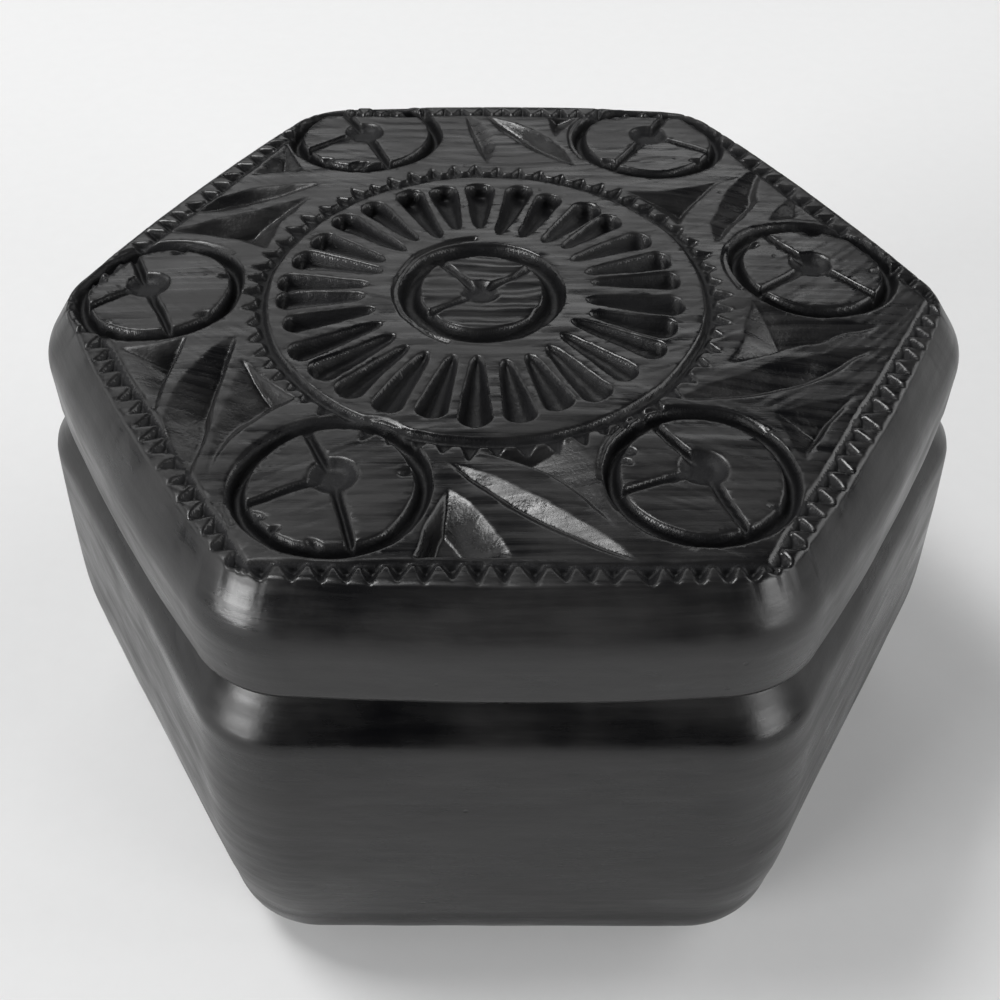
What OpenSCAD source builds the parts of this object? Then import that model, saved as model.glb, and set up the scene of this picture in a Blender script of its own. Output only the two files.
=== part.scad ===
// Six-sided lidded box of burnished black clay, with a carved lift-off lid.
// The base, the collar luted into its mouth and the lid are separate pieces.
// Millimetres. Z = 0 is the table, corners point along X and flat sides face Y.

/* [Box] */
// Width of the lid across its flat sides
lid_w = 100; // [90:1:115]
// Height of the base, from the table to its mouth
base_h = 49.8; // [46:0.2:60]
// Height of the lid, from its rim to the edge of its top
lid_h = 14; // [12:0.5:18]
// Rise of the lid's top from its edge to its middle
crown = 1.6; // [0.8:0.1:2.4]
// Corner radius of the lid in plan
lid_corner = 13; // [11:0.5:16]
// Corner radius of the base in plan, at its belly
base_corner = 12.4; // [11:0.2:15]

/* [Base] */
// How far the belly of the base stands out past the lid
belly_out = 2; // [0.5:0.1:3]
// Height of the belly's widest line
belly_z = 22.4; // [20:0.2:28]
// Rounding of the edge under the base
foot_round = 10; // [6:0.5:12]
// Height of the sloping shoulder under the mouth
shoulder_h = 6.4; // [5:0.2:8]
// How far the edge of the mouth lies inside the lid's sides
mouth_in = 3.5; // [3:0.1:4]
// Thickness of the side walls
wall = 6; // [5:0.2:7]
// Thickness of the floor
floor_t = 6; // [5:0.2:8]

/* [Collar] */
// Thickness of the collar
collar_t = 3; // [2.5:0.1:4]
// Height of the collar above the mouth
collar_up = 4.5; // [3:0.1:5.5]
// Depth of the collar inside the mouth
collar_down = 5.8; // [4:0.1:6]
// Play between the collar and the lid
collar_play = 1.2; // [0.8:0.1:1.5]

/* [Lid] */
// Thickness of the lid's top at its edge
lid_top = 6.6; // [5:0.1:8]
// Gap under the lid's rim, where it rests on high spots of the clay
seat_gap = 0.1; // [0.05:0.05:0.2]

/* [Carving] */
// Depth of the widest grooves
groove_depth = 1.3; // [0.8:0.1:1.6]
// Depth of the leaf-shaped cuts
leaf_depth = 1.5; // [0.8:0.1:2]
// Number of flutes around the middle rosette
flutes = 30; // [24:1:36]
// Number of teeth around the middle ring
ring_teeth = 62; // [40:2:72]
// Number of notches along each side of the lid
edge_notches = 18; // [10:1:20]

/* [Hidden] */

corner_steps = 6;                    // facets around each plan corner
round_steps = 5;                     // facets around each rounded edge
lid_half = lid_w / 2;
unit = lid_half / 50;                // scales the carved layout with the lid

// Base
belly_half = lid_half + belly_out;
foot_half = belly_half - 1.4;
shoulder_half = belly_half - 0.6;
shoulder_z = base_h - shoulder_h;
mouth_half = lid_half - mouth_in;
mouth_round = 0.6;
bore_half = mouth_half - 4.5;        // inner face of the mouth, where the collar sits
bore_z = base_h - collar_down;
well_half = belly_half - wall;
well_round = 8;

// Collar
collar_top = base_h + collar_up;
collar_chamfer = 0.6;

// Lid
rim_z = base_h + seat_gap;
rim_half = lid_half - 0.5;
rim_round = 0.9;
widest_z = base_h + 0.6 * lid_h;
edge_z = base_h + lid_h;
edge_half = lid_half - 3.9;
hollow_half = bore_half + collar_play;
hollow_round = 1.6;
ceiling_z = edge_z - lid_top;
crown_steps = 4;

// Carving
lift = 1.2;                          // how far each cutter stands up out of the clay
middle_ring = 9.4 * unit;
corner_ring = 9.4 * unit;
corner_reach = 38.8 * unit;          // from the middle to each corner rosette
fence_ring = 25.8 * unit;

// One rounded hexagon, as points in counter-clockwise order
function hex_ring(half, radius, z) = [
    for (corner = [0:5], step = [0:corner_steps])
        let (
            turn = 60 * corner,
            swing = turn - 30 + 60 * step / corner_steps,
            reach = (half - radius) / cos(30)
        )
        [reach * cos(turn) + radius * cos(swing), reach * sin(turn) + radius * sin(swing), z]
];

// Corner radii that shrink as a ring moves inwards
function base_radius(half) = base_corner - 0.6 * (belly_half - half);
function lid_radius(half) = lid_corner - (lid_half - half);
function base_ring(half, z) = hex_ring(half, base_radius(half), z);
function lid_ring(half, z) = hex_ring(half, lid_radius(half), z);

// Height and tilt of the lid's top, at a distance from the middle measured square to the sides
function crown_z(half) = edge_z + crown * (1 - pow(half / edge_half, 2));
function crown_tilt(half) = atan(2 * crown * half / pow(edge_half, 2));

// Half width of the belly, a shallow curve from the foot over the widest line to the shoulder
function belly(z) = z < belly_z
    ? belly_half - (belly_half - foot_half) * pow((belly_z - z) / (belly_z - foot_round), 2)
    : belly_half - (belly_half - shoulder_half) * pow((z - belly_z) / (shoulder_z - belly_z), 2);

// A solid through a stack of rings, capped at both ends or joined into a loop
module skin(rings, loop = false) {
    n = len(rings[0]);
    count = len(rings);
    walls = [
        for (i = [0:count - (loop ? 1 : 2)], k = [0:n - 1])
            let (here = i * n, next = (i + 1) % count * n, k2 = (k + 1) % n)
                each [
                    [here + k, next + k, next + k2],
                    [here + k, next + k2, here + k2]
                ]
    ];
    caps = loop ? [] : [
        [for (k = [0:n - 1]) k],
        [for (k = [n - 1:-1:0]) (count - 1) * n + k]
    ];
    polyhedron(points = [for (ring = rings) each ring], faces = concat(walls, caps), convexity = 8);
}

module base() {
    foot = [
        for (step = [0:round_steps])
            let (turn = 90 * step / round_steps)
                base_ring(foot_half - foot_round * (1 - sin(turn)), foot_round * (1 - cos(turn)))
    ];
    side = [for (part = [0.2:0.2:1])
        let (z = foot_round + (shoulder_z - foot_round) * part) base_ring(belly(z), z)];
    mouth = [
        base_ring(shoulder_half - 0.5, shoulder_z + 0.7),
        base_ring(mouth_half, base_h - mouth_round),
        base_ring(mouth_half - mouth_round, base_h),
        base_ring(bore_half, base_h),
        base_ring(bore_half, bore_z)
    ];
    well = [
        base_ring(well_half, bore_z - (well_half - bore_half)),
        base_ring(well_half, floor_t + well_round),
        for (step = [1:round_steps])
            let (turn = 90 * step / round_steps)
                base_ring(well_half - well_round * (1 - cos(turn)), floor_t + well_round * (1 - sin(turn)))
    ];
    color("#26272b") skin(concat(foot, side, mouth, well));
}

module locating_collar() {
    outer = bore_half;
    inner = bore_half - collar_t;
    color("#3a3a3c") skin([
        base_ring(inner, bore_z),
        base_ring(outer, bore_z),
        base_ring(outer, collar_top - collar_chamfer),
        base_ring(outer - collar_chamfer, collar_top),
        base_ring(inner + collar_chamfer, collar_top),
        base_ring(inner, collar_top - collar_chamfer)
    ], loop = true);
}

module lid_blank() {
    hollow = [
        for (step = [0:round_steps - 1])
            let (turn = 90 * step / (round_steps - 1))
                lid_ring(hollow_half - hollow_round * (1 - sin(turn)), ceiling_z - hollow_round * (1 - cos(turn)))
    ];
    side = [
        lid_ring(hollow_half, rim_z),
        lid_ring(rim_half - rim_round, rim_z),
        lid_ring(rim_half, rim_z + rim_round),
        lid_ring(lid_half, widest_z),
        lid_ring(lid_half - 0.5, widest_z + 0.25 * (edge_z - widest_z)),
        lid_ring(edge_half, edge_z)
    ];
    top = [
        for (step = [crown_steps - 1:-1:1])
            let (half = edge_half * step / crown_steps)
                hex_ring(half, lid_radius(edge_half) * step / crown_steps, crown_z(half))
    ];
    skin(concat(hollow, side, top));
}

// A chip: a pyramid that stands on its point, whose outline lies on the surface at z = 0
module chip(outline, low, depth) {
    n = len(outline);
    spread = 1 + lift / depth;
    hull() polyhedron(
        points = concat(
            [for (p = outline) [low.x + (p.x - low.x) * spread, low.y + (p.y - low.y) * spread, lift]],
            [[low.x, low.y, -depth]]
        ),
        faces = concat([[for (k = [n - 1:-1:0]) k]], [for (k = [0:n - 1]) [n, k, (k + 1) % n]])
    );
}

// A ring groove with sloping sides
module ring_groove(radius, width, depth) {
    rotate_extrude($fn = 36)
        polygon([
            [radius - width / 6, -depth],
            [radius + width / 6, -depth],
            [radius + width / 2 + lift / 2, lift],
            [radius - width / 2 - lift / 2, lift]
        ]);
}

// A thin tapered cut along X, from one distance to another
module spoke(from, to, width) {
    chip([[from, -width / 2], [to, -width / 3], [to, width / 3], [from, width / 2]],
         [from + (to - from) / 3, 0], groove_depth * 0.7);
}

// Places its children on the lid's top, tilted to the crown, at a reach along a direction.
// Half is the same place measured square to the nearest side.
module on_top(half, reach, direction) {
    rotate([0, 0, direction])
        translate([reach, 0, crown_z(half)])
            rotate([0, crown_tilt(half), 0])
                children();
}

// A ring with three spokes and a hollow hub
module rosette_cut(radius) {
    ring_groove(radius, 2 * unit, groove_depth);
    for (turn = [14, 128, 247])
        rotate([0, 0, turn]) spoke(1.5 * unit, radius, 1.1 * unit);
    chip([for (turn = [22:45:337]) 2.2 * unit * [cos(turn), sin(turn)]], [0, 0], groove_depth);
}

// Tear-shaped gouges around the middle rosette, deepest at their outer ends
module flute_cuts() {
    near = 12.6 * unit;
    far = 23.6 * unit;
    round_r = 1.4 * unit;
    shape = concat(
        [[near - far, -0.3 * unit]],
        [for (turn = [-60:40:60]) round_r * [cos(turn) - 1, sin(turn)]],
        [[near - far, 0.3 * unit]]
    );
    for (k = [0:flutes - 1])
        on_top(far, far, 360 * (k + 0.37) / flutes)
            chip(shape, [-round_r, 0], groove_depth);
}

// The ring around the flutes: a shallow groove whose outer wall is cut into teeth
module toothed_ring_cut() {
    depth = 0.7 * unit;
    tips = [for (k = [0:2 * ring_teeth - 1])
        let (reach = fence_ring + (k % 2 == 0 ? 0.9 : 2.4) * unit, turn = 180 * (k + 0.3) / ring_teeth)
            reach * [cos(turn), sin(turn)]];
    translate([0, 0, crown_z(fence_ring) - depth])
        linear_extrude(depth + lift)
            difference() {
                polygon(tips);
                rotate(2) circle(fence_ring, $fn = 48);
            }
}

// Small chips along the edge of the lid's top
module edge_notch_cuts() {
    pitch = 2.7 * unit;
    size = 0.95 * unit;
    inside = edge_half - 1.2 * unit;
    for (side = [0:5], k = [0:edge_notches - 1])
        rotate([0, 0, 30 + 60 * side])
            translate([inside, (k - (edge_notches - 1) / 2) * pitch, edge_z])
                chip([[0, -size], [2.4 * unit, 0], [0, size]], [1.1 * unit, 0], 0.9 * unit);
}

// The leaf and the two three-cornered chips that fill each side of the lid.
// X runs outwards from the middle of the group, Y along the side.
module leaf_cuts() {
    middle = 36 * unit;
    bow = 2.4 * unit;
    leaf_from = [-6, -6.5] * unit;
    leaf_to = [7.4, 12] * unit;
    along = leaf_to - leaf_from;
    aside = [along.y, -along.x] / norm(along);
    leaf = concat(
        [for (t = [0:0.2:1]) leaf_from + along * t + aside * bow * sin(180 * t)],
        [for (t = [0.8:-0.2:0.2]) leaf_from + along * t - aside * bow * sin(180 * t)]
    );
    edge_chip = [[-2.5, -7] * unit, [6.8, -10] * unit, [7.4, 0] * unit];
    ring_chip = [[-7.8, -4.5] * unit, [-9, 7] * unit, [3, 10.5] * unit];
    for (side = [0:5])
        on_top(middle, middle, 60 * side - 90) {
            chip(leaf, leaf_from + along * 0.55 - aside * bow * 0.45, leaf_depth);
            chip(edge_chip, [4, -6] * unit, leaf_depth);
            chip(ring_chip, [-4.5, 4.5] * unit, leaf_depth);
        }
}

module lid() {
    color("#2c2d31") difference() {
        lid_blank();
        on_top(0, 0, 0) {
            ring_groove(middle_ring, 2.2 * unit, groove_depth);
            for (turn = [65, 130, 235])
                rotate([0, 0, turn]) spoke(2.6 * unit, middle_ring, 1 * unit);
            ring_groove(2.8 * unit, 1.2 * unit, groove_depth * 0.7);
        }
        for (k = [0:5])
            on_top(corner_reach * cos(30), corner_reach, 60 * k) rosette_cut(corner_ring);
        flute_cuts();
        toothed_ring_cut();
        edge_notch_cuts();
        leaf_cuts();
    }
}

base();
locating_collar();
lid();
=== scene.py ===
"""A six-sided lidded box of burnished black clay, with a hand-carved lift-off lid.

The base, the collar and the lid are meshes made here around the CAD frame. Lengths are in
millimetres until a mesh is built, and in metres from there on.
"""

import math

import bpy
import numpy as np
from mathutils import Matrix, Vector


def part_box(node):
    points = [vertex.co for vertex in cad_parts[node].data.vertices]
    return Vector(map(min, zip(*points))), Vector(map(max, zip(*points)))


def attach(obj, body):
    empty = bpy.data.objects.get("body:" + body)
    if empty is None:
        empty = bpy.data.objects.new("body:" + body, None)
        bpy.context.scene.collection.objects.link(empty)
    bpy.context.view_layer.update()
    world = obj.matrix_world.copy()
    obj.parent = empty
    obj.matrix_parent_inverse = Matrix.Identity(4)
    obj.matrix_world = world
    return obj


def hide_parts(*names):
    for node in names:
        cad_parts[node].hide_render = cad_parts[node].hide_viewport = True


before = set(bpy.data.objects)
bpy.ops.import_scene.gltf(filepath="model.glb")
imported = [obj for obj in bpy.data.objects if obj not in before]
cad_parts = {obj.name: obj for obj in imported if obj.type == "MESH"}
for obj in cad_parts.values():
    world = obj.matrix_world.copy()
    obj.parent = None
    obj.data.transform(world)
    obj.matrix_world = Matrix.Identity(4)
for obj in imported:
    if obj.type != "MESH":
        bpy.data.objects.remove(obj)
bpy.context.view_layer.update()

MM = 0.001


# ---------------------------------------------------------------- sizes, from the CAD boxes

def top_of(node):
    """Height of a CAD node's highest point, in millimetres."""
    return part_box(node)[1].z / MM


def bottom_of(node):
    """Height of a CAD node's lowest point, in millimetres."""
    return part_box(node)[0].z / MM


def half_of(node):
    """Half of a CAD node's width across its flat sides, in millimetres."""
    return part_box(node)[1].y / MM


LID_HALF = half_of("lid")
LID_RIM_Z = bottom_of("lid")
LID_TOP_Z = top_of("lid")
BASE_HALF = half_of("base")
MOUTH_Z = top_of("base")
COLLAR_HALF = half_of("locating_collar")
COLLAR_TOP_Z = top_of("locating_collar")
COLLAR_LOW_Z = bottom_of("locating_collar")

SKIN = 0.12                         # how far the clay surface stays inside the CAD box
CROWN = 1.5                         # rise of the lid's top
EDGE_HALF = LID_HALF - 3.9          # half width of the lid's top at its edge
EDGE_Z = LID_TOP_Z - CROWN - SKIN
WIDEST_Z = LID_RIM_Z + 8.4          # where the lid's chamfer meets its side
CEILING_Z = EDGE_Z - 6.6
CARVING_Z = EDGE_Z - 4              # lower than any cut, higher than the ceiling
TOP_HALF = EDGE_HALF - 1.1          # half width of the top, inside its rounded edge
TOP_RINGS = 206                     # rings of vertices across the top
LID_CORNER = 13.0
LID_BOW = 0.8                       # how far the lid's sides bow outwards in their middles
PLAY = 1.25                         # gap between the collar and the lid's hollow
BASE_CORNER = 12.4
CORNER_SHRINK = 0.6                 # how much less the corners round for each mm further in
FOOT_ROUND = 10.0
BELLY_Z = 22.4
FOOT_IN = 1.4                       # how far the foot lies inside the belly
SHOULDER_IN = 0.6                   # how far the shoulder's edge lies inside the belly
SHOULDER_Z = MOUTH_Z - 6.4
FLOOR_Z = 6.2
BASE_WALL = 6.0
COLLAR_THICK = 3.0
CHAMFER_FOOT = SHOULDER_Z - 1.6     # where the walls start to turn in to the shoulder
LIP_HALF = BASE_HALF - 5.5          # half width of the shoulder's upper edge
LIP_Z = MOUTH_Z - 0.05
MIDDLE_HOLE = 4.0                   # the base's floor is capped inside this half width
LEAST_CORNER = 0.12                 # least rounding of a plan corner, as a share of the half width
LID_TRIANGLES = 192000
BASE_TRIANGLES = 150000


# ---------------------------------------------------------------- smooth noise

def value_noise(points, size, seed):
    """Smooth noise between -1 and 1, with bumps about `size` wide, at an array of points."""
    cells = np.random.default_rng(seed).uniform(-1, 1, 4096)
    scaled = np.asarray(points, float) / size + 1000.0
    low = np.floor(scaled).astype(np.int64)
    part = scaled - low
    part = part * part * (3 - 2 * part)
    strides = (1, 57, 2903)
    total = 0.0
    dims = scaled.shape[-1]
    for corner in range(2 ** dims):
        weight = 1.0
        index = 0
        for axis in range(dims):
            up = (corner >> axis) & 1
            weight = weight * (part[..., axis] if up else 1 - part[..., axis])
            index = index + (low[..., axis] + up) * strides[axis]
        total = total + weight * cells[index % len(cells)]
    return total


def line_noise(values, size, seed):
    """Smooth noise along a line."""
    return value_noise(np.stack([values], -1), size, seed)


def rough_noise(points, size, seed):
    """Three sizes of smooth noise added up."""
    total = 0.0
    for k in range(3):
        total = total + value_noise(points, size / 2 ** k, seed + k) / 2 ** k
    return total


# ---------------------------------------------------------------- carving, as a height map

CELL = 0.125                        # size of a cell of the height map
REACH = 57.0                        # the map covers this far each way
LINE = np.arange(-REACH, REACH + CELL / 2, CELL)
GRID_X, GRID_Y = np.meshgrid(LINE, LINE, indexing="xy")
PLAN = np.stack([GRID_X, GRID_Y], -1)


def hex_distance(x, y):
    """Distance from the middle, measured square to the nearest flat side."""
    best = np.abs(y)
    for turn in (30, 150):
        angle = math.radians(turn)
        best = np.maximum(best, np.abs(x * math.cos(angle) + y * math.sin(angle)))
    return best


def lid_reach(x, y):
    """Half width of the rounded, bowed hexagon that passes through a point of the lid's plan."""
    core = LID_HALF - LID_CORNER
    side = core * math.tan(math.pi / 6)
    facing = math.pi / 6 + np.round((np.arctan2(y, x) - math.pi / 6) / (math.pi / 3)) * math.pi / 3
    out = x * np.cos(facing) + y * np.sin(facing)
    along = -x * np.sin(facing) + y * np.cos(facing)
    slide = np.clip((along / side + 1) / 2, 0, 1)
    out = out - core - LID_BOW * 4 * slide * (1 - slide)
    corner = np.clip(np.abs(along) - side, 0, None)
    return core + np.where(out > 0, np.hypot(out, corner), out)


def turned(x, y, degrees):
    """Distances along a direction and across it."""
    angle = math.radians(degrees)
    c, s = math.cos(angle), math.sin(angle)
    return x * c + y * s, -x * s + y * c


def around(dx, dy):
    """Distance from a centre, direction, and points on a rim for noise that closes on itself."""
    turn = np.arctan2(dy, dx)
    return np.hypot(dx, dy), turn, np.stack([np.cos(turn), np.sin(turn)], -1)


def vee(off_line, half_width, depth):
    """Depth of a groove with straight sloping sides."""
    return depth * np.clip(1 - np.abs(off_line) / half_width, 0, None)


def trench(off_line, half_width, depth):
    """Depth of a steep-sided groove with a rounded floor."""
    return depth * np.clip(1 - np.abs(off_line / half_width) ** 2.8, 0, None)


def edge_depth(x, y, start, end, bulge):
    """Distance inside an edge that runs from start to end with the cut on its left.

    A positive bulge bows the edge outwards into an arc of that height, a negative one inwards.
    """
    start = np.array(start, float)
    end = np.array(end, float)
    chord = end - start
    length = np.hypot(*chord)
    along = chord / length
    left = np.array([-along[1], along[0]])
    straight = (x - start[0]) * left[0] + (y - start[1]) * left[1]
    if abs(bulge) < 0.01:
        return straight
    radius = (length ** 2 / 4 + bulge ** 2) / (2 * abs(bulge))
    side = math.copysign(1.0, bulge)
    centre = (start + end) / 2 + left * side * (radius - abs(bulge))
    bowed = side * (radius - np.hypot(x - centre[0], y - centre[1]))
    return bowed if bulge > 0 else np.minimum(bowed, straight)


def chip(x, y, corners, slopes, bulges):
    """Depth of a chip cut out between edges, each with its own slope."""
    depth = np.full(x.shape, LEAF_DEEP)
    for k, slope in enumerate(slopes):
        start = corners[k]
        end = corners[(k + 1) % len(corners)]
        inside = edge_depth(x, y, start, end, bulges[k])
        depth = np.minimum(depth, inside * slope)
    return np.clip(depth, 0, None)


# Corner rosettes: centre, how far the hub is off it, radius and the directions of the spokes
ROSETTES = (
    ((-18.2, -33.3), (0.3, 1.5), 9.4, (117, 205, 284)),
    ((20.2, -31.5), (0.2, 0.9), 9.4, (126, 203, 291)),
    ((37.6, 6.0), (0.0, 0.8), 9.3, (128, 222, 316)),
    ((19.9, 36.6), (0.2, 1.6), 9.5, (64, 240, 330)),
    ((-18.8, 37.6), (-0.4, 1.0), 9.5, (120, 214, 292)),
    ((-41.2, 1.2), (-1.6, 0.8), 9.2, (115, 214, 293)),
)
ROSETTE_GROOVE = (0.84, 1.7)        # half width and depth
ROSETTE_SPOKE = (0.60, 1.05)
ROSETTE_HUB = (2.55, 0.95)          # radius and depth
ROSETTE_LAND = 1.0                  # land left standing around the groove

MIDDLE = (-2.8, -0.3)
MIDDLE_RADIUS = 8.5
MIDDLE_GROOVE = (1.2, 1.9)
MIDDLE_SPOKE = (0.48, 0.85)
MIDDLE_SPOKES = (41, 127, 214)
MIDDLE_HUB = (2.4, 0.80)
CLEARED = 0.22                      # how deep the blade cleared the ground of the middle rosette

FLUTE_CENTRE = (-3.1, -0.2)
FLUTES = 30
FLUTE_REACH = (12.8, 23.9)          # inner and outer ends
FLUTE_WIDE = 1.95
FLUTE_DEEP = 2.0

RING = (-2.3, -0.3)
RING_RADIUS = 26.1
RING_GROOVE = (0.62, 0.85)
TEETH = 62
TOOTH = (2.3, 0.75)                 # length and depth

BORDER = 43.95                      # from the middle to the line along each side of the top
BORDER_HALF = 26.2                  # half the length of that line
BORDER_GROOVE = (0.42, 0.42)
NOTCH = (2.75, 1.0)                 # length and depth
NOTCH_PITCH = 2.66
LEAF_DEEP = 2.2

GROOVE_MARK = 0.25                  # a cut deeper than this gets the grooves' finish
LEAF_MARK = 0.12                    # a facet deeper than this gets the leaves' finish


def rosette_cuts(x, y, centre, hub, radius, spokes, seed):
    """One corner rosette: a ring groove, three spokes and a hollow hub."""
    dx, dy = x - centre[0], y - centre[1]
    reach, turn, rim = around(dx, dy)
    radius = radius + 0.28 * value_noise(rim, 0.7, seed)
    half_width = ROSETTE_GROOVE[0] + 0.14 * value_noise(rim, 0.45, seed + 1)
    depth = ROSETTE_GROOVE[1] + 0.3 * value_noise(rim, 0.6, seed + 2)
    cut = trench(reach - radius, half_width, depth)
    # a second, lighter stroke that wanders off the first
    stray = radius + 1.0 + 0.7 * value_noise(rim, 0.8, seed + 3)
    cut = np.maximum(cut, vee(reach - stray, 0.3, 0.35) * (np.cos(turn - 2.2) > 0.1))
    hx, hy = dx - hub[0], dy - hub[1]
    bowl = np.clip(1.1 - (np.hypot(hx, hy) / ROSETTE_HUB[0]) ** 3, 0, 1)
    cut = np.maximum(cut, ROSETTE_HUB[1] * bowl)
    for k, direction in enumerate(spokes):
        along, across = turned(hx, hy, direction)
        bend = 0.10 * np.sin(along * 0.5 + k + seed)
        half_width = ROSETTE_SPOKE[0] - 0.018 * np.clip(along, 0, 9)
        inside = (along > 1.2) & (reach < radius + 0.2)
        cut = np.maximum(cut, trench(across - bend, half_width, ROSETTE_SPOKE[1]) * inside)
    return cut


def nicks(x, y, centre, radius, seed):
    """Small slips of the tool at the inner edge of a ring groove."""
    cut = np.zeros_like(x)
    draw = np.random.default_rng(seed)
    inward = radius - 1.2
    for _ in range(4):
        angle = draw.uniform(0, 2 * math.pi)
        px = centre[0] + inward * math.cos(angle)
        py = centre[1] + inward * math.sin(angle)
        lean = draw.uniform(-0.6, 0.6)
        u, v = turned(x - px, y - py, math.degrees(lean))
        cut = np.maximum(cut, 0.7 * np.clip(1 - (u / 1.1) ** 2 - (v / 0.42) ** 2, 0, None))
    return cut


def middle_cuts(x, y):
    """The middle rosette: a wide ring groove, three thin spokes and a round hollow hub."""
    dx, dy = x - MIDDLE[0], y - MIDDLE[1]
    _, turn, rim = around(dx, dy)
    reach = np.hypot(dx, dy * 0.97)
    radius = MIDDLE_RADIUS + 0.25 * value_noise(rim, 0.7, 41)
    half_width = MIDDLE_GROOVE[0] + 0.15 * value_noise(rim, 0.5, 42)
    cut = trench(reach - radius, half_width, MIDDLE_GROOVE[1])
    # a lighter stroke just outside the groove, on one side
    stray = radius + 1.9 + 0.5 * value_noise(rim, 0.9, 43)
    cut = np.maximum(cut, vee(reach - stray, 0.4, 0.5) * (np.cos(turn - 3.0) > 0.2))
    hx, hy = dx + 0.1, dy + 0.2
    for direction in MIDDLE_SPOKES:
        along, across = turned(hx, hy, direction)
        bend = 0.08 * np.sin(along)
        inside = (along > 1.4) & (reach < radius)
        cut = np.maximum(cut, trench(across - bend, *MIDDLE_SPOKE) * inside)
    bowl = MIDDLE_HUB[1] * np.clip(1.1 - (np.hypot(hx, hy) / MIDDLE_HUB[0]) ** 2, 0, 1)
    # flat strokes left by the blade that cleared the ground
    wave = np.sin(dy * 2.1 + 0.5 * np.sin(dx * 0.5) + 0.8 * value_noise(np.stack([dx, dy], -1), 4, 44))
    strokes = (0.16 + 0.10 * wave) * (reach < radius)
    return np.maximum(cut, np.maximum(bowl, strokes))


def flute_cuts(x, y):
    """Tear-shaped gouges around the middle, deepest and widest at their outer ends."""
    cut = np.zeros_like(x)
    draw = np.random.default_rng(7)
    for k in range(FLUTES):
        angle = 360 * (k + 0.5 + draw.uniform(-0.13, 0.13)) / FLUTES
        near = FLUTE_REACH[0] + draw.uniform(-0.6, 1.0)
        far = FLUTE_REACH[1] + draw.uniform(-0.6, 0.5)
        wide = FLUTE_WIDE + draw.uniform(-0.2, 0.2)
        deep = FLUTE_DEEP + draw.uniform(-0.2, 0.2)
        lean = draw.uniform(-2.5, 2.5)
        u, v = turned(x - FLUTE_CENTRE[0], y - FLUTE_CENTRE[1], angle)
        u = u - near
        v = v + np.tan(math.radians(lean)) * (u - 5)
        part = u / (far - near)
        along = np.clip(part, 0, 1)
        end = np.sqrt(np.clip(1 - np.clip((part - 0.86) / 0.14, 0, 1) ** 2, 0, 1))
        begin = np.sqrt(np.clip(part / 0.08, 0, 1))
        half_width = wide * (0.26 + 0.74 * along ** 0.85) * end * begin + 1e-6
        depth = deep * (0.30 + 0.70 * along ** 0.7)
        # the wall on one side is steeper than on the other, as the gouge is held
        skew = np.clip(v / half_width, -1, 1)
        bowl = (1 - np.abs(skew) ** 3) * (1 - 0.15 * skew)
        inside = (part > 0) & (part < 1) & (np.abs(v) < half_width)
        cut = np.maximum(cut, depth * bowl * np.clip(end * 1.6, 0, 1) * inside)
    return cut


def toothed_ring(x, y):
    """A shallow ring groove around the flutes, with small triangular teeth cut outwards."""
    reach, turn, rim = around(x - RING[0], y - RING[1])
    out = reach - RING_RADIUS - 0.25 * value_noise(rim, 0.5, 51)
    cut = trench(out - 0.55, *RING_GROOVE)
    phase = turn * TEETH / (2 * math.pi) + 0.35 * value_noise(rim, 0.35, 52)
    saw = 2 * np.abs(phase - np.round(phase))
    size = 1.0 + 0.25 * line_noise(np.round(phase), 0.8, 53)
    length = TOOTH[0] * size * (1 - saw * 1.12)
    teeth = np.clip(np.minimum((length - (out - 0.6)) * 0.95, TOOTH[1]), 0, None)
    return np.maximum(cut, teeth * (out > 0.4))


def border_cuts(x, y):
    """A fine line along the edge of the top, and a row of three-cornered notches that point outwards."""
    cut = np.zeros_like(x)
    for side in range(6):
        u, v = turned(x, y, 30 + 60 * side)
        off_line = u - BORDER - 0.25 * line_noise(v + 200 * side, 8, 61)
        along = np.abs(v) < BORDER_HALF
        cut = np.maximum(cut, vee(off_line, *BORDER_GROOVE) * along)
        place = v / NOTCH_PITCH + 0.20 * line_noise(v + 100 * side, 5, 62)
        which = np.round(place)
        size = 1 + 0.22 * line_noise(which * 3.1 + 40 * side, 1.3, 63)
        slant = 0.16 * line_noise(which * 1.7 + 70 * side, 1.1, 64)
        out = off_line / (NOTCH[0] * size)
        room = 0.5 * (1 - out) - np.abs(place - which + slant * out)
        depth = np.minimum(out * 5.5, room * NOTCH_PITCH * 1.25)
        depth = np.clip(np.minimum(depth, NOTCH[1] * size), 0, None)
        cut = np.maximum(cut, depth * along)
    return cut


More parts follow.
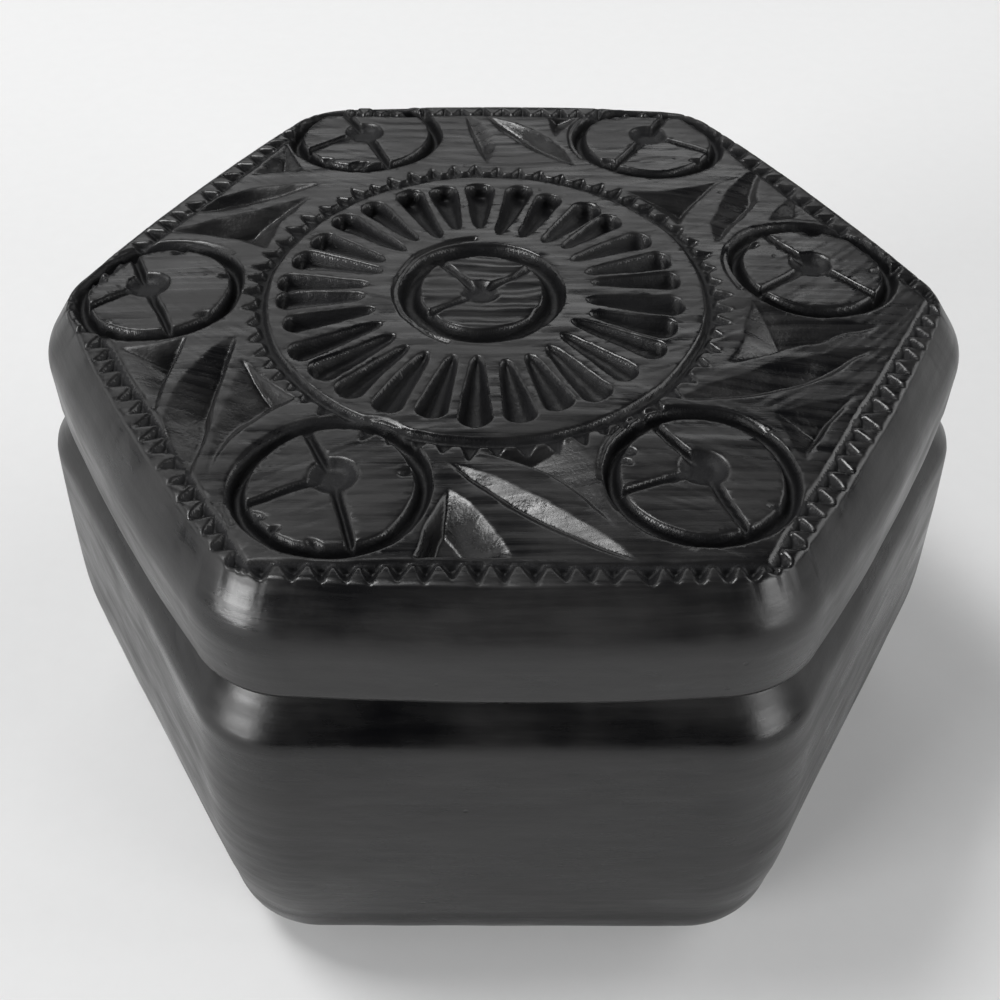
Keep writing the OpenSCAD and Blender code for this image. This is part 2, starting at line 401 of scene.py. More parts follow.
# Leaves and three-cornered chips, side by side around the lid. Each has its corners in order
# with the cut on the left, then the slope of each edge's facet and how far that edge bows out.
SIDE_CUTS = (
    # front
    (((-6.3, -33.5), (-9.5, -43.0), (0.6, -43.2)), (1.6, 2.4, 0.60), (0.0, 0.0, 0.7)),
    (((-6.3, -29.9), (12.8, -43.6)), (1.0, 0.46), (1.7, 1.5)),
    (((-3.4, -28.5), (10.9, -39.6), (7.3, -26.5)), (1.8, 0.27, 1.0), (-2.0, 1.0, -0.3)),
    # front right
    (((29.3, -1.8), (25.0, -13.6), (44.0, -5.4)), (0.46, 1.8, 0.36), (-0.3, 0.0, -0.6)),
    (((18.8, -20.1), (42.3, -9.8)), (1.0, 0.36), (2.8, 1.5)),
    (((38.8, -17.9), (28.8, -21.3), (31.4, -29.0)), (0.42, 0.50, 1.8), (-0.3, 0.0, -0.5)),
    # back right
    (((15.5, 22.5), (21.8, 14.6), (28.8, 26.0)), (0.60, 1.4, 0.50), (-0.5, -0.3, -0.8)),
    (((26.0, 10.8), (34.6, 30.2)), (1.2, 0.36), (1.8, 2.2)),
    (((33.6, 16.2), (40.2, 17.0), (38.6, 24.6)), (0.7, 0.42, 0.42), (-0.4, 0.0, 0.0)),
    # back
    (((-5.2, 44.0), (-2.2, 29.6)), (1.3, 0.50), (0.6, 2.4)),
    (((-2.5, 43.8), (9.5, 28.8)), (0.6, 0.90), (1.6, 2.6)),
    (((6.2, 43.6), (7.2, 36.8), (10.6, 43.4)), (1.0, 0.50, 2.0), (0.0, 0.0, 0.0)),
    # back left
    (((-43.0, 13.8), (-29.5, 9.3), (-25.0, 21.5)), (0.80, 0.60, 0.75), (-0.8, -0.6, 0.0)),
    (((-41.5, 17.5), (-23.5, 24.5)), (0.6, 0.85), (1.0, 2.8)),
    (((-29.8, 37.2), (-33.5, 27.6), (-26.3, 28.4)), (0.60, 1.2, 0.90), (0.0, 0.0, -0.4)),
    # front left
    (((-44.0, -9.9), (-38.2, -22.0), (-36.7, -8.3)), (0.46, 2.2, 0.75), (0.0, -0.2, -0.3)),
    (((-31.0, -8.2), (-33.0, -34.0)), (0.42, 2.2), (4.8, 0.3)),
    (((-29.7, -12.6), (-31.0, -34.2), (-23.1, -19.7)), (0.45, 0.85, 1.8), (0.5, -2.2, -0.3)),
)


def leaf_cuts(x, y):
    """The leaves and chips that fill the sides of the lid, with slightly rounded facets."""
    cut = np.zeros_like(x)
    for k, (corners, slopes, bulges) in enumerate(SIDE_CUTS):
        shift = 0.25 * value_noise(np.stack([x, y], -1), 3.0, 130 + k)
        depth = chip(x + shift, y - shift, corners, slopes, bulges)
        # gentler by its edges than by the crease
        cut = np.maximum(cut, depth * (0.8 + 0.13 * depth))
    return cut


def softened(field):
    """The height map with its sharpest steps rounded, as a thumb rounds wet clay."""
    field = (np.roll(field, 1, 0) + 2 * field + np.roll(field, -1, 0)) / 4
    return (np.roll(field, 1, 1) + 2 * field + np.roll(field, -1, 1)) / 4


def carved_map():
    """Depth at each cell of the height map: of all the carving, of the raw cuts and of the facets."""
    # every line is a little shaky, as a hand's is
    x = GRID_X + 0.10 * value_noise(PLAN, 4.0, 11) + 0.04 * value_noise(PLAN, 1.1, 13)
    y = GRID_Y + 0.10 * value_noise(PLAN, 4.0, 12) + 0.04 * value_noise(PLAN, 1.1, 14)
    middle = middle_cuts(x, y)
    grooves = np.maximum(flute_cuts(x, y), toothed_ring(x, y))
    leaves = leaf_cuts(x, y)
    for k, (centre, hub, radius, spokes) in enumerate(ROSETTES):
        # the land inside and around a rosette is left standing
        reach = np.hypot(x - centre[0], y - centre[1])
        leaves = leaves * (reach > radius + ROSETTE_LAND)
        rosette = rosette_cuts(x, y, centre, hub, radius, spokes, 20 + 5 * k)
        rosette = np.maximum(rosette, nicks(x, y, centre, radius, 80 + k))
        grooves = np.maximum(grooves, rosette)
    grooves = np.maximum(grooves, border_cuts(x, y))
    cut = np.maximum(np.maximum(grooves, middle), leaves)
    raw = np.maximum(grooves, middle - CLEARED)
    inside_cut = np.clip(cut / 0.4, 0, 1)
    grain = 0.035 * rough_noise(PLAN, 1.6, 71) * inside_cut
    # the land: slightly wavy, with long strokes from side to side
    bowed = GRID_Y + 0.012 * GRID_X ** 2 * np.sign(value_noise(PLAN, 60, 72))
    strokes = value_noise(np.stack([GRID_X / 9, GRID_Y], -1), 1.2, 73)
    strokes = strokes + 0.5 * value_noise(np.stack([GRID_X / 12, bowed], -1), 0.5, 74)
    land = 0.05 * strokes + 0.10 * value_noise(PLAN, 7, 75)
    total = softened(cut + grain + land * (1 - 0.6 * inside_cut))
    return total, softened(raw), softened(leaves)


def sampled(field, x, y):
    """The height map at any points, between its cells."""
    fx = np.clip((x + REACH) / CELL, 0, len(LINE) - 1.001)
    fy = np.clip((y + REACH) / CELL, 0, len(LINE) - 1.001)
    ix, iy = fx.astype(int), fy.astype(int)
    tx, ty = fx - ix, fy - iy
    near = field[iy, ix] * (1 - tx) + field[iy, ix + 1] * tx
    far = field[iy + 1, ix] * (1 - tx) + field[iy + 1, ix + 1] * tx
    return near * (1 - ty) + far * ty


# ---------------------------------------------------------------- rounded hexagons and skins

def ring_points(share, half, radius, bow=0.0):
    """Points and outward directions on a rounded hexagon, at shares 0 to 1 of the way round.

    The sides bow outwards by `bow` in their middles.
    """
    sector = np.floor(share * 6 + 1e-9) % 6
    part = np.clip(share * 6 - np.floor(share * 6 + 1e-9), 0, 1)
    reach = (half - radius) / math.cos(math.pi / 6)
    arc = radius * math.pi / 6
    run = part * (2 * arc + reach)
    first = sector * math.pi / 3
    last = first + math.pi / 3
    swing = np.where(
        run < arc, first + run / radius,
        np.where(run > arc + reach, last - (2 * arc + reach - run) / radius, first + math.pi / 6))
    slide = np.clip((run - arc) / reach, 0, 1)
    swell = radius + bow * 4 * slide * (1 - slide)
    x = reach * ((1 - slide) * np.cos(first) + slide * np.cos(last)) + swell * np.cos(swing)
    y = reach * ((1 - slide) * np.sin(first) + slide * np.sin(last)) + swell * np.sin(swing)
    return np.stack([x, y], -1), np.stack([np.cos(swing), np.sin(swing)], -1)


def rounded_line(corners, steps=6):
    """A profile through (half width, height, rounding) corners, with each corner rounded."""
    line = [corners[0][:2]]
    for before, here, after in zip(corners, corners[1:], corners[2:]):
        p, q, r = (np.array(c[:2], float) for c in (before, here, after))
        legs = min(here[2], np.hypot(*(p - q)) * 0.49, np.hypot(*(r - q)) * 0.49)
        if legs < 0.01:
            line.append(tuple(q))
            continue
        start = q + (p - q) / np.hypot(*(p - q)) * legs
        end = q + (r - q) / np.hypot(*(r - q)) * legs
        for k in range(steps + 1):
            t = k / steps
            line.append(tuple((1 - t) ** 2 * start + 2 * t * (1 - t) * q + t * t * end))
    line.append(corners[-1][:2])
    return np.array(line, float)


def spaced(line, spacing):
    """A profile resampled so that its points are about evenly spaced."""
    steps = np.hypot(*np.diff(line, axis=0).T)
    run = np.concatenate([[0], np.cumsum(steps)])
    count = max(2, int(round(run[-1] / spacing)) + 1)
    even = np.linspace(0, run[-1], count)
    return np.stack([np.interp(even, run, line[:, k]) for k in range(2)], -1)


def profile_normals(line):
    """Directions square to a profile, to its left as it is followed."""
    along = np.gradient(line, axis=0)
    along /= np.hypot(along[:, 0], along[:, 1])[:, None]
    return np.stack([-along[:, 1], along[:, 0]], -1)


def band_faces(upper, lower, count):
    """Two triangles for each step between two rings of vertices that start at those indices."""
    here = np.arange(count)
    after = (here + 1) % count
    first = np.stack([upper + here, lower + here, lower + after], -1)
    second = np.stack([upper + here, lower + after, upper + after], -1)
    return np.concatenate([first, second])


def disc_faces(rings):
    """Triangles of a hexagonal disc of rings, where ring k holds 6 k vertices."""
    faces = []
    start = 1
    inner_start = 0
    for k in range(1, rings + 1):
        count = 6 * k
        inner_count = max(1, 6 * (k - 1))
        sector = np.repeat(np.arange(6), k)
        step = np.tile(np.arange(k), 6)
        outer = start + sector * k + step
        outer_next = start + (sector * k + step + 1) % count
        inner = inner_start + (sector * (k - 1) + step) % inner_count
        faces.append(np.stack([inner, outer, outer_next], -1))
        if k > 1:
            keep = step < k - 1
            inner_next = inner_start + (sector * (k - 1) + step + 1) % inner_count
            faces.append(np.stack([inner, outer_next, inner_next], -1)[keep])
        inner_start = start
        start += count
    return np.concatenate(faces)


def mesh_object(name, points, faces):
    """A smooth-shaded mesh object from points in millimetres."""
    mesh = bpy.data.meshes.new(name)
    mesh.vertices.add(len(points))
    mesh.vertices.foreach_set("co", (np.asarray(points, np.float32) * MM).ravel())
    mesh.loops.add(len(faces) * 3)
    mesh.loops.foreach_set("vertex_index", np.asarray(faces, np.int32).ravel())
    mesh.polygons.add(len(faces))
    mesh.polygons.foreach_set("loop_start", np.arange(0, len(faces) * 3, 3, dtype=np.int32))
    mesh.polygons.foreach_set("loop_total", np.full(len(faces), 3, np.int32))
    mesh.update(calc_edges=True)
    mesh.validate()
    mesh.polygons.foreach_set("use_smooth", np.ones(len(mesh.polygons), bool))
    piece = bpy.data.objects.new(name, mesh)
    bpy.context.scene.collection.objects.link(piece)
    return piece


def thinned(piece, triangles, kept=None):
    """The piece with its flat stretches simplified down to about that many triangles.

    Vertices marked in `kept` stay, so that no long triangle runs across them.
    """
    lean = piece.modifiers.new("Lean", "DECIMATE")
    lean.ratio = triangles / len(piece.data.polygons)
    if kept is not None:
        free = piece.vertex_groups.new(name="free")
        free.add(np.flatnonzero(~kept).tolist(), 1.0, "REPLACE")
        lean.vertex_group = "free"
    graph = bpy.context.evaluated_depsgraph_get()
    mesh = bpy.data.meshes.new_from_object(piece.evaluated_get(graph))
    piece.modifiers.clear()
    piece.vertex_groups.clear()
    piece.data = mesh
    mesh.polygons.foreach_set("use_smooth", np.ones(len(mesh.polygons), bool))
    return piece


def vertices_of(piece):
    """The piece's vertices, in millimetres."""
    flat = np.empty(len(piece.data.vertices) * 3, np.float32)
    piece.data.vertices.foreach_get("co", flat)
    return flat.reshape(-1, 3).astype(float) / MM


# ---------------------------------------------------------------- lid

def crown_height(half):
    """Height of the lid's uncarved top, at a distance square to its sides."""
    return EDGE_Z + CROWN * (1 - (np.clip(half, 0, EDGE_HALF) / EDGE_HALF) ** 2)


def lid_top():
    """Points of the lid's uncarved top, in hexagonal rings around a middle one."""
    shares = [np.zeros(1)]
    sizes = [np.zeros(1)]
    for k in range(1, TOP_RINGS + 1):
        shares.append(np.arange(6 * k) / (6 * k))
        sizes.append(np.full(6 * k, k / TOP_RINGS))
    sizes = np.concatenate(sizes)
    corner = LID_CORNER - (LID_HALF - TOP_HALF)
    outline, _ = ring_points(np.concatenate(shares), TOP_HALF, corner, LID_BOW)
    return np.column_stack([outline * sizes[:, None], crown_height(sizes * TOP_HALF)])


def lid_profile():
    """Half width and height from the rim of the top, down the outside and up into the hollow."""
    rim_half = LID_HALF - 0.25
    rim_middle = rim_half - 2.2
    hollow = COLLAR_HALF + PLAY
    outer = rounded_line((
        (TOP_HALF, crown_height(TOP_HALF), 0),
        (EDGE_HALF, EDGE_Z, 1.0),
        (LID_HALF - SKIN, WIDEST_Z, 1.9),
        (rim_half, LID_RIM_Z, 0.6),
        (rim_middle, LID_RIM_Z, 0),
    ))
    inner = rounded_line((
        (rim_middle, LID_RIM_Z, 0),
        (hollow, LID_RIM_Z, 0.5),
        (hollow, CEILING_Z, 1.8),
        (hollow - 4, CEILING_Z, 0),
        (hollow * 0.2, CEILING_Z, 0),
    ))
    # rows of vertices lie closest together by the edge of the top, where the carving ends
    upper = outer[:, 1] > EDGE_Z - 3.4
    return np.concatenate([spaced(outer[upper], 0.25), spaced(outer[~upper], 0.55), spaced(inner, 1.3)[1:]])


def build_lid(carving):
    """The carved, hollow lid as one closed skin."""
    columns = 6 * TOP_RINGS
    top = lid_top()
    line = lid_profile()
    slant = profile_normals(line)
    share = np.arange(columns) / columns
    layers = [top]
    normals = [np.tile([0.0, 0.0, 1.0], (len(top), 1))]
    for (half, z), (out, up) in zip(line[1:], slant[1:]):
        radius = max(LID_CORNER - (LID_HALF - half), LEAST_CORNER * half)
        points, outward = ring_points(share, half, radius, LID_BOW)
        layers.append(np.column_stack([points, np.full(columns, z)]))
        normals.append(np.column_stack([outward * out, np.full(columns, up)]))
    points = np.concatenate([*layers, [[0, 0, CEILING_Z]]])
    normals = np.concatenate([*normals, [[0, 0, -1.0]]])

    faces = [disc_faces(TOP_RINGS)]
    above = len(top) - columns
    for k in range(len(line) - 1):
        below = len(top) + k * columns
        faces.append(band_faces(above, below, columns))
        above = below
    here = np.arange(columns)
    middle = np.full(columns, len(points) - 1)
    faces.append(np.stack([above + here, middle, above + (here + 1) % columns], -1))

    # the carving stops where the edge of the top turns down
    reach = lid_reach(points[:, 0], points[:, 1])
    carved = np.clip((EDGE_HALF + 0.3 - reach) / 0.6, 0, 1) * (points[:, 2] > CARVING_Z)
    depth = carved * sampled(carving, points[:, 0], points[:, 1])
    wavy = 0.10 * value_noise(points, 13, 91) + 0.05 * value_noise(points, 5, 92)
    sides = np.clip((EDGE_Z - 0.3 - points[:, 2]) / 1.5, 0, 1) * (normals[:, 2] < 0.9)
    depth = depth + sides * (SKIN + wavy)
    # a few rows of vertices along the top edge keep the chamfer's shading clear of the carving
    kept = (np.abs(reach - EDGE_HALF - 0.7) < 0.4) & (points[:, 2] > EDGE_Z - 3)
    points = points - normals * depth[:, None]
    return thinned(mesh_object("carved_lid", points, np.concatenate(faces)), LID_TRIANGLES, kept)


# ---------------------------------------------------------------- base and collar

def build_shell(name, line, columns, wobble, closed=False):
    """A skin through rounded hexagons that follow a profile, with hand-made unevenness.

    A closed profile comes back to its start; an open one gets a flat cap at each end.
    """
    slant = -profile_normals(line)
    share = np.arange(columns) / columns
    layers = []
    normals = []
    for (half, z), (out, up) in zip(line, slant):
        radius = max(BASE_CORNER - CORNER_SHRINK * (BASE_HALF - half), LEAST_CORNER * half)
        ring, outward = ring_points(share, half, radius)
        layers.append(np.column_stack([ring, np.full(columns, z)]))
        normals.append(np.column_stack([outward * out, np.full(columns, up)]))
    points = np.concatenate(layers)
    normals = np.concatenate(normals)
    points = points - normals * wobble(points, normals)[:, None]
    faces = [band_faces((k + 1) * columns, k * columns, columns) for k in range(len(layers) - 1)]
    if closed:
        faces.append(band_faces(0, (len(layers) - 1) * columns, columns))
    else:
        here = np.arange(columns)
        after = (here + 1) % columns
        low = len(points)
        high = low + 1
        last = low - columns
        low_z = points[:columns, 2].mean()
        high_z = points[last:, 2].mean()
        points = np.concatenate([points, [[0, 0, low_z], [0, 0, high_z]]])
        faces.append(np.stack([np.full(columns, low), after, here], -1))
        faces.append(np.stack([np.full(columns, high), last + here, last + after], -1))
    return mesh_object(name, points, np.concatenate(faces))


def base_wobble(points, normals):
    """How far the base's surface lies inside its true shape: hand work, and a flat foot."""
    spread = hex_distance(points[:, 0], points[:, 1])
    z = points[:, 2]
    hand = 0.17 + 0.11 * value_noise(points, 17, 101) + 0.05 * value_noise(points, 6, 102)
    inside = (np.abs(points[:, 0]) < 48) & (spread < COLLAR_HALF + 5) & (z > FLOOR_Z - 1.2)
    hand = np.where(inside, hand + 0.10 * value_noise(points, 4, 103), hand)
    seated = (np.abs(normals[:, 2]) > 0.98) & (z < 1)
    by_collar = (np.abs(spread - COLLAR_HALF) < 1.5) & (z > COLLAR_LOW_Z - 1)
    return np.where(seated | by_collar, 0, hand)


def belly(z):
    """Half width of the base's walls at a height."""
    below = FOOT_IN * (np.clip(BELLY_Z - z, 0, None) / (BELLY_Z - FOOT_ROUND)) ** 2
    above = SHOULDER_IN * (np.clip(z - BELLY_Z, 0, None) / (SHOULDER_Z - BELLY_Z)) ** 2
    return BASE_HALF - SKIN - below - above


def build_base():
    """The hollow base: rounded foot, bulging walls, sloping shoulder, mouth and well."""
    turn = np.radians(np.linspace(0, 90, 16))
    foot = belly(FOOT_ROUND) - FOOT_ROUND
    outside = [(MIDDLE_HOLE, 0.0)]
    outside += [(foot + FOOT_ROUND * math.sin(t), FOOT_ROUND * (1 - math.cos(t))) for t in turn]
    outside += [(belly(z), z) for z in np.linspace(FOOT_ROUND, CHAMFER_FOOT, 36)[1:]]
    well = BASE_HALF - BASE_WALL
    inside = rounded_line((
        (belly(CHAMFER_FOOT), CHAMFER_FOOT, 0),
        (belly(SHOULDER_Z), SHOULDER_Z, 1.2),
        (LIP_HALF, LIP_Z, 0.9),
        (COLLAR_HALF, LIP_Z, 0),
        (COLLAR_HALF, COLLAR_LOW_Z, 0),
        (well, COLLAR_LOW_Z - 4, 1.5),
        (well, FLOOR_Z, 8),
        (MIDDLE_HOLE, FLOOR_Z, 0),
    ), steps=10)
    line = spaced(np.concatenate([outside, inside[1:]]), 0.8)
    return thinned(build_shell("pot_base", line, 480, base_wobble), BASE_TRIANGLES)


def collar_wobble(points, normals):
    """Unevenness of the collar, which is left as it was luted in, whichever way a surface faces."""
    free = points[:, 2] > MOUTH_Z + 0.4
    return free * (0.10 + 0.07 * value_noise(points, 6, 111) + 0.04 * value_noise(points, 2, 112))


def build_collar():
    """The collar that keeps the lid in place, a hexagonal strip standing in the mouth."""
    inner = COLLAR_HALF - COLLAR_THICK
    middle = COLLAR_HALF - COLLAR_THICK / 2
    line = rounded_line((
        (middle, COLLAR_LOW_Z, 0),
        (COLLAR_HALF, COLLAR_LOW_Z, 0),
        (COLLAR_HALF, COLLAR_TOP_Z, 1.0),
        (inner, COLLAR_TOP_Z, 1.0),
        (inner, COLLAR_LOW_Z, 0),
        (middle, COLLAR_LOW_Z, 0),
    ), steps=5)
    line = spaced(line, 0.5)[:-1]
    return build_shell("mouth_collar", line, 300, collar_wobble, closed=True)


# ---------------------------------------------------------------- materials

class Nodes:
    """Short ways to add and join shader nodes in one material."""

    def __init__(self, name):
        self.material = bpy.data.materials.new(name)
        self.material.use_nodes = True
        self.tree = self.material.node_tree
        self.shader = self.tree.nodes["Principled BSDF"]

    def add(self, kind, **settings):
        """A new node with its settings."""
        node = self.tree.nodes.new(kind)
        for key, value in settings.items():
            setattr(node, key, value)
        return node

    def link(self, source, target):
        self.tree.links.new(source, target)

    def feed(self, socket, value):
        """Sets a socket to a plain number, or links it to another node's value."""
        if isinstance(value, (int, float)):
            socket.default_value = value
        else:
            self.link(value, socket)

    def noise(self, vector, scale, detail=3.0, rough=0.55):
        """Noise at a scale given as bumps per metre along each axis."""
        place = self.add("ShaderNodeMapping")
        self.link(vector, place.inputs["Vector"])
        place.inputs["Scale"].default_value = scale
        node = self.add("ShaderNodeTexNoise")
        node.inputs["Scale"].default_value = 1.0
        node.inputs["Detail"].default_value = detail
        node.inputs["Roughness"].default_value = rough
        self.link(place.outputs["Vector"], node.inputs["Vector"])
        return node.outputs["Fac"]

    def spread(self, value, low, high, to_low=0.0, to_high=1.0):
        """Maps a range of values onto another, held at its ends."""
        node = self.add("ShaderNodeMapRange")
        self.link(value, node.inputs["Value"])
        node.inputs["From Min"].default_value = low
        node.inputs["From Max"].default_value = high
        node.inputs["To Min"].default_value = to_low
        node.inputs["To Max"].default_value = to_high
        return node.outputs["Result"]

    def math(self, operation, a, b):
        """A sum, product or other operation on two values."""
        node = self.add("ShaderNodeMath", operation=operation)
        self.feed(node.inputs[0], a)
        self.feed(node.inputs[1], b)
        return node.outputs["Value"]

    def blend(self, share, a, b):
        """A mix of two values by a share."""
        node = self.add("ShaderNodeMix", data_type="FLOAT")
        self.link(share, node.inputs["Factor"])
        self.feed(node.inputs["A"], a)
        self.feed(node.inputs["B"], b)
        return node.outputs["Result"]

    def tint(self, share, dark, light):
        """A colour between two, by a share."""
        node = self.add("ShaderNodeMix", data_type="RGBA")
        self.link(share, node.inputs["Factor"])
        node.inputs["A"].default_value = (*dark, 1)
        node.inputs["B"].default_value = (*light, 1)
        return node.outputs["Result"]

    def bump(self, height, distance, after=None):
        """A normal raised by a height of that many metres, on top of an earlier bump."""
        node = self.add("ShaderNodeBump")
        node.inputs["Strength"].default_value = 1.0
        node.inputs["Distance"].default_value = distance
        self.link(height, node.inputs["Height"])
        if after:
            self.link(after, node.inputs["Normal"])
        return node.outputs["Normal"]


def clay(name, dark, light, rough, sheen, grainy):
    """Black clay: streaks run round the walls and across the top, over soft cloudy mottling.

    `rough` is the middle roughness, `sheen` the specular level and `grainy` the depth of the grain.
    """
    n = Nodes(name)
    place = n.add("ShaderNodeTexCoord").outputs["Object"]
    facing = n.add("ShaderNodeSeparateXYZ")
    n.link(n.add("ShaderNodeNewGeometry").outputs["True Normal"], facing.inputs["Vector"])
    upness = n.spread(n.math("ABSOLUTE", facing.outputs["Z"], 0.0), 0.75, 0.92)
    wide_streaks = n.math("MULTIPLY", n.noise(place, (24, 24, 300), 4.0, 0.6), 0.6)
    fine_streaks = n.math("MULTIPLY", n.noise(place, (90, 90, 1900), 4.0, 0.65), 0.4)
    wall_streaks = n.math("ADD", wide_streaks, fine_streaks)
    top_streaks = n.noise(place, (45, 1100, 60), 4.0, 0.6)
    streaks = n.blend(upness, wall_streaks, top_streaks)
    broad = n.noise(place, (38, 38, 110), 3.0, 0.55)
    mottle = n.noise(place, (110, 110, 160), 4.0, 0.5)
    grain = n.noise(place, (2400, 2400, 2400), 3.0, 0.6)
    specks = n.add("ShaderNodeTexVoronoi")
    specks.inputs["Scale"].default_value = 150.0
    n.link(place, specks.inputs["Vector"])
    pits = n.spread(specks.outputs["Distance"], 0.02, 0.05)

    cloud = n.math("ADD", n.math("MULTIPLY", mottle, 0.4), n.math("MULTIPLY", broad, 0.35))
    tone = n.math("ADD", n.math("MULTIPLY", streaks, 0.25), cloud)
    n.link(n.tint(n.spread(tone, 0.40, 0.64), dark, light), n.shader.inputs["Base Color"])

    shine = n.math("ADD", n.spread(streaks, 0.35, 0.65, -0.07, 0.09), n.spread(mottle, 0.3, 0.7, -0.07, 0.08))
    shine = n.math("ADD", shine, n.spread(broad, 0.3, 0.7, -0.05, 0.07))
    n.link(n.math("ADD", shine, rough), n.shader.inputs["Roughness"])

    normal = n.bump(streaks, 0.00003)
    normal = n.bump(broad, 0.0003, after=normal)
    normal = n.bump(mottle, 0.00012, after=normal)
    normal = n.bump(grain, grainy, after=normal)
    normal = n.bump(pits, 0.00005, after=normal)
    n.link(normal, n.shader.inputs["Normal"])
    n.shader.inputs["IOR"].default_value = 1.5
    n.shader.inputs["Specular IOR Level"].default_value = sheen
    return n.material


def floor_material():
    """Plain pale paper."""
    n = Nodes("pale_floor")
    place = n.add("ShaderNodeTexCoord").outputs["Object"]
    fibre = n.noise(place, (300, 300, 300), 3.0, 0.6)
    n.link(n.tint(fibre, (0.73, 0.73, 0.73), (0.76, 0.76, 0.76)), n.shader.inputs["Base Color"])
    n.shader.inputs["Roughness"].default_value = 0.85
    n.shader.inputs["Emission Color"].default_value = (1, 1, 1, 1)
    n.shader.inputs["Emission Strength"].default_value = 0.06
    return n.material


# ---------------------------------------------------------------- scene

def aim(thing, position, target, roll=0.0):
    """Points a camera or light at a target; position and target are in metres."""
    position, target = Vector(position), Vector(target)
    turn = (target - position).to_track_quat("-Z", "Y")
    thing.matrix_world = (
        Matrix.Translation(position) @ turn.to_matrix().to_4x4() @ Matrix.Rotation(roll, 4, "Z"))


def add_camera():
    """The camera, close to the box and above it."""
    target = Vector((-0.5, -13.2, 43.1)) * MM
    distance = 175.6 * MM
    elevation = math.radians(43.55)
    azimuth = math.radians(-0.67)
    back = Vector((math.sin(azimuth) * math.cos(elevation),
                   -math.cos(azimuth) * math.cos(elevation), math.sin(elevation)))
    data = bpy.data.cameras.new("camera")
    data.lens = 51.6
    data.sensor_width = 36
    data.clip_start = 0.01
    camera = bpy.data.objects.new("camera", data)
    bpy.context.scene.collection.objects.link(camera)
    aim(camera, target + back * distance, target, math.radians(0.59))
    bpy.context.scene.camera = camera


def add_light(name, direction, distance, size, brightness):
    """A soft rectangular light seen from the box in that direction; brightness is its radiance."""
    data = bpy.data.lights.new(name, "AREA")
    data.shape = "RECTANGLE"
    data.size, data.size_y = size
    data.energy = brightness * math.pi * size[0] * size[1]
    light = bpy.data.objects.new(name, data)
    bpy.context.scene.collection.objects.link(light)
    centre = Vector((0, 0, 0.045))
    aim(light, centre + Vector(direction).normalized() * distance, centre)


def add_surroundings():
    """Floor, soft world light and the studio lights."""
    bpy.ops.mesh.primitive_plane_add(size=4)
    floor = bpy.context.object
    floor.name = "floor"
    floor.data.materials.append(floor_material())
    world = bpy.data.worlds.new("studio")
    world.use_nodes = True
    background = world.node_tree.nodes["Background"]
    background.inputs["Color"].default_value = (0.93, 0.96, 1.0, 1)
    background.inputs["Strength"].default_value = 0.04
    scene = bpy.context.scene
    scene.world = world
    scene.view_settings.view_transform = "Standard"
    add_light("front_left", (-0.76, -0.55, 0.28), 1.60, (0.75, 0.55), 13.5)
    add_light("left_panel", (-0.92, 0.20, 0.38), 1.80, (1.80, 0.80), 1.3)
    add_light("overhead", (-0.41, 0.15, 0.90), 1.70, (0.50, 0.50), 21.0)
    add_light("back_panel", (-0.08, 0.84, 0.54), 1.80, (1.50, 0.55), 1.8)
    add_light("front_right", (0.78, -0.53, 0.28), 1.60, (0.65, 0.50), 7.0)
    add_light("right_panel", (0.85, 0.20, 0.50), 1.80, (1.60, 0.90), 2.6)


def finish_faces(piece, main, others):
    """Gives a piece its main finish, and others on the faces where most corners are marked."""
    mesh = piece.data
    corners = np.empty(len(mesh.loops), np.int32)
    mesh.loops.foreach_get("vertex_index", corners)
    index = np.zeros(len(mesh.polygons), np.int32)
    mesh.materials.append(main)
    for k, (material, marked) in enumerate(others):
        mesh.materials.append(material)
        share = np.asarray(marked, float)[corners].reshape(-1, 3).mean(axis=1)
        index[share > 0.5] = k + 1
    mesh.polygons.foreach_set("material_index", index)


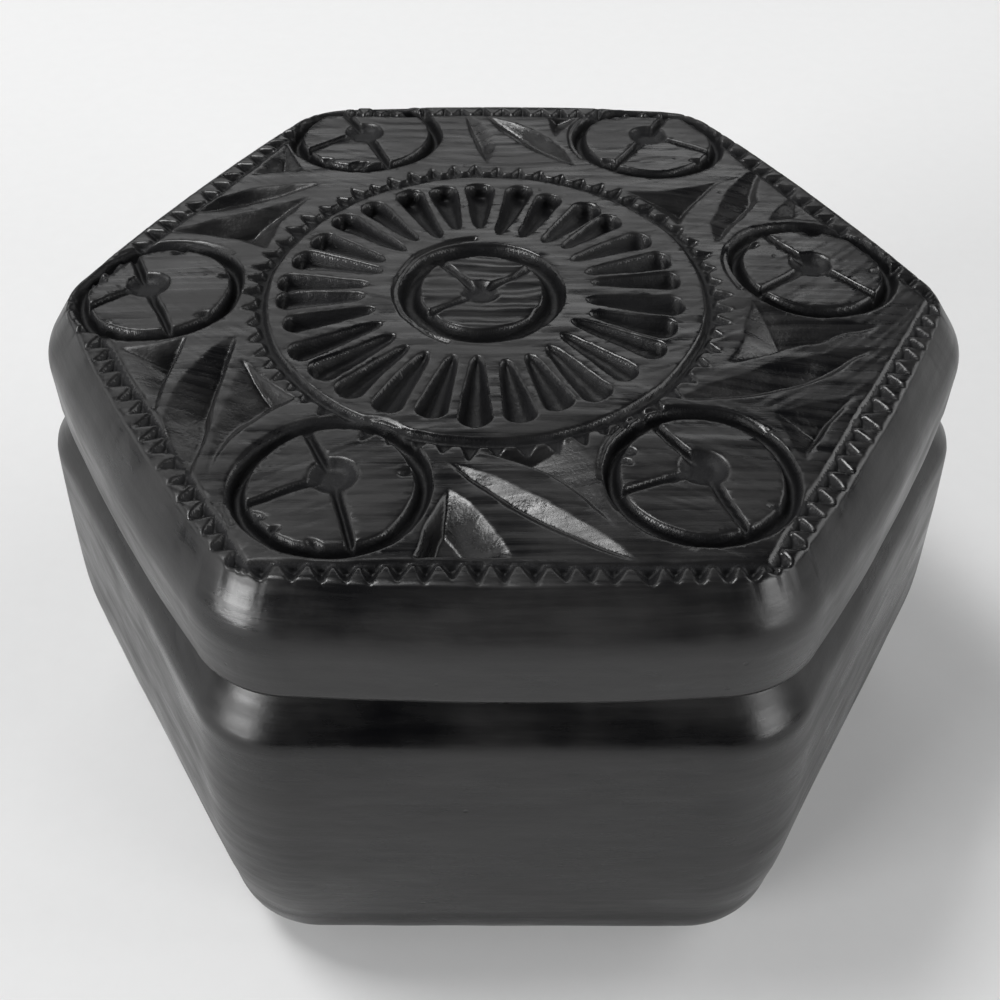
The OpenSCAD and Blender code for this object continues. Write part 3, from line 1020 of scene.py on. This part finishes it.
def finish_lid(lid, raw_cuts, facets, skin, facet_clay, cut_clay, inner_clay):
    """Burnished skin, smooth leaves, rough grooves and a plain hollow."""
    where = vertices_of(lid)
    x, y, z = where.T
    on_top = (z > CARVING_Z) & (lid_reach(x, y) < EDGE_HALF)
    grooves = (sampled(raw_cuts, x, y) > GROOVE_MARK) & on_top
    leaves = (sampled(facets, x, y) > LEAF_MARK) & on_top
    hollow = (z < CEILING_Z + 0.6) & (hex_distance(x, y) < COLLAR_HALF + 2.5)
    finish_faces(lid, skin, ((facet_clay, leaves), (cut_clay, grooves), (inner_clay, hollow)))


def finish_base(base, skin, inner_clay):
    """Burnished skin outside, plain clay in the well and underneath."""
    where = vertices_of(base)
    x, y, z = where.T
    # where hand work moved the well's wall out by more than 0.3 mm, the burnished skin stays
    well = (hex_distance(x, y) < BASE_HALF - BASE_WALL + 0.3) & (z > 3)
    underside = z < 0.1
    finish_faces(base, skin, ((inner_clay, well | underside),))


def main():
    """Makes the three pieces and gives them their finishes and their places in the frame."""
    carving, raw_cuts, facets = carved_map()
    lid = build_lid(carving)
    base = build_base()
    collar = build_collar()

    dark, light = (0.0018, 0.0018, 0.0023), (0.0125, 0.0120, 0.0120)
    lid_skin = clay("burnished_lid", dark, light, 0.31, 0.5, 0.00001)
    base_skin = clay("burnished_base", dark, light, 0.30, 0.44, 0.00001)
    facet_clay = clay("facet_clay", dark, light, 0.30, 0.5, 0.00004)
    cut_clay = clay("cut_clay", (0.0035, 0.0035, 0.004), (0.011, 0.011, 0.012), 0.48, 0.22, 0.00006)
    inner_clay = clay("plain_clay", (0.020, 0.020, 0.021), (0.042, 0.041, 0.041), 0.60, 0.3, 0.00005)
    finish_lid(lid, raw_cuts, facets, lid_skin, facet_clay, cut_clay, inner_clay)
    finish_base(base, base_skin, inner_clay)
    collar.data.materials.append(inner_clay)

    for piece, body, node, slot in (
            (lid, "lid", "lid", "burnished_clay_lid"),
            (base, "box", "base", "burnished_clay_base"),
            (collar, "box", "locating_collar", "plain_clay")):
        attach(piece, body)
        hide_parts(node)


add_camera()
add_surroundings()
main()
